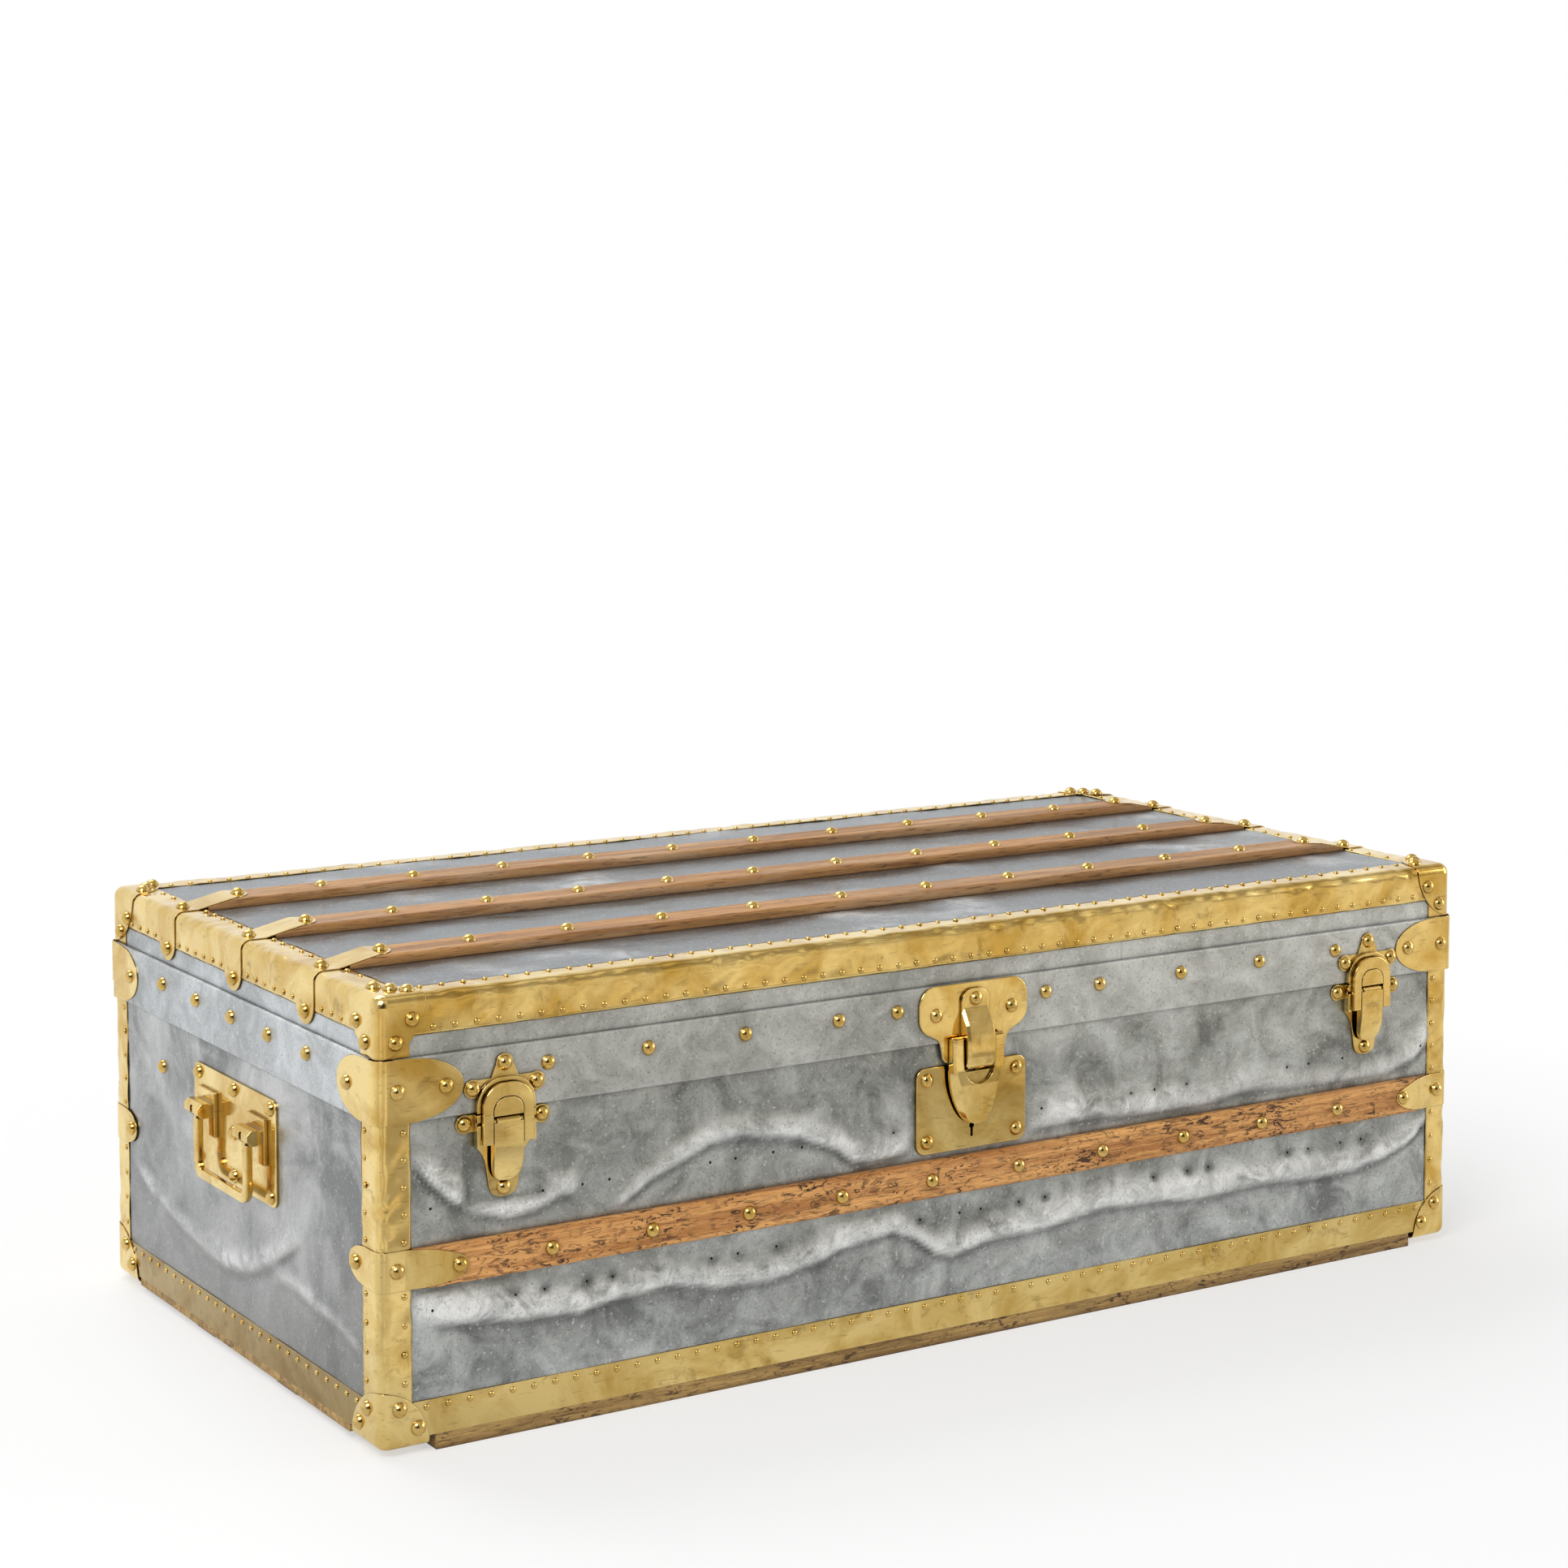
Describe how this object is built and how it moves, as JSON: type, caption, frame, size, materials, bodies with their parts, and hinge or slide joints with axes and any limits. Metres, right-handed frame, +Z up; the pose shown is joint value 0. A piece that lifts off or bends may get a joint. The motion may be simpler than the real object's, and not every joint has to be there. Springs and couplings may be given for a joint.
{
  "type": "cabin trunk",
  "caption": "Low metal-clad travel trunk with brass-bound edges, wooden slats, a hinged lid, lever latches, a hasp lock and drop handles on its ends.",
  "frame": {"origin": "on the ground, under the middle of the trunk", "axes": "+X along the length towards the right end, +Y towards the back, +Z up; the front with the lock faces -Y"},
  "size_m": [1.138, 0.5903, 0.3705],
  "materials": {
    "zinc": "dull blue-grey zinc sheet, dented and cloudy",
    "brass": "polished old brass with warm tarnish",
    "nails": "polished domed brass",
    "slat_wood": "waxed honey-brown wood",
    "base_wood": "worn dark wood",
    "board_wood": "plain planed wood",
    "cloth": "plain cotton lining",
    "steel": "plain steel"
  },
  "bodies": {
    "chest": {"back_board": "board_wood", "back_sheet": "zinc", "back_slat": "slat_wood", "base_rails": "base_wood", "bottom_corner_caps": "brass", "bottom_edges": "brass", "chest_hinge_leaves": "brass", "chest_lining": "cloth", "chest_nails": "nails", "corner_posts": "brass", "floor_board": "board_wood", "front_board": "board_wood", "front_sheet": "zinc", "front_slat": "slat_wood", "handle_plates": "brass", "handle_saddles": "brass", "hinge_pins": "brass", "latch_pins": "brass", "left_board": "board_wood", "left_latch_base": "brass", "left_sheet": "zinc", "lock_case": "steel", "lock_plate": "brass", "lock_spring": "steel", "right_board": "board_wood", "right_latch_base": "brass", "right_sheet": "zinc", "runners": "base_wood", "slat_brackets": "brass"},
    "lid": {"lid_top_board": "board_wood", "lid_rim_boards": "board_wood", "lid_top_sheet": "zinc", "lid_rim_sheets": "zinc", "lid_lining": "cloth", "lid_posts": "brass", "top_edges": "brass", "top_corner_caps": "brass", "front_band": "zinc", "end_bands": "zinc", "band_brackets": "brass", "top_slat_front": "slat_wood", "top_slat_middle": "slat_wood", "top_slat_back": "slat_wood", "slat_straps": "brass", "lid_nails": "nails", "lid_hinge_leaves": "brass", "latch_keepers": "brass", "hasp_plate": "brass", "hasp_bridge": "brass", "hasp_pin": "brass"},
    "hasp": {"hasp_lever": "brass"},
    "left_lever": {"left_latch_lever": "brass"},
    "left_bail": {"left_latch_bail": "brass"},
    "right_lever": {"right_latch_lever": "brass"},
    "right_bail": {"right_latch_bail": "brass"},
    "left_drop_handle": {"left_handle": "brass"},
    "right_drop_handle": {"right_handle": "brass"},
    "bolt": {"lock_bolt": "steel"}
  },
  "joints": [
    {"name": "lid_hinge", "type": "hinge", "parent": "chest", "child": "lid", "pos_m": [0, 0.283, 0.273], "axis": [-1, 0, 0], "range_deg": [0, 100]},
    {"name": "hasp_hinge", "type": "hinge", "parent": "lid", "child": "hasp", "pos_m": [0, -0.2879, 0.2628], "axis": [-1, 0, 0], "range_deg": [0, 110]},
    {"name": "left_lever_pivot", "type": "hinge", "parent": "chest", "child": "left_lever", "pos_m": [-0.445, -0.2851, 0.251], "axis": [-1, 0, 0], "range_deg": [0, 120]},
    {"name": "left_bail_pivot", "type": "hinge", "parent": "left_lever", "child": "left_bail", "pos_m": [-0.445, -0.2875, 0.2381], "axis": [-1, 0, 0], "range_deg": [-120, 0]},
    {"name": "left_handle_pivot", "type": "hinge", "parent": "chest", "child": "left_drop_handle", "pos_m": [-0.5625, 0, 0.2045], "axis": [0, 1, 0], "range_deg": [0, 90]},
    {"name": "right_lever_pivot", "type": "hinge", "parent": "chest", "child": "right_lever", "pos_m": [0.445, -0.2851, 0.251], "axis": [-1, 0, 0], "range_deg": [0, 120]},
    {"name": "right_bail_pivot", "type": "hinge", "parent": "right_lever", "child": "right_bail", "pos_m": [0.445, -0.2875, 0.2381], "axis": [-1, 0, 0], "range_deg": [-120, 0]},
    {"name": "right_handle_pivot", "type": "hinge", "parent": "chest", "child": "right_drop_handle", "pos_m": [0.5625, 0, 0.2045], "axis": [0, -1, 0], "range_deg": [0, 90]},
    {"name": "bolt_slide", "type": "slide", "parent": "chest", "child": "bolt", "axis": [1, 0, 0], "range_m": [0, 0.006]}
  ],
  "couplings": [
    {"joint": "left_bail_pivot", "follows": "left_lever_pivot", "ratio": -1},
    {"joint": "right_bail_pivot", "follows": "right_lever_pivot", "ratio": -1}
  ]
}
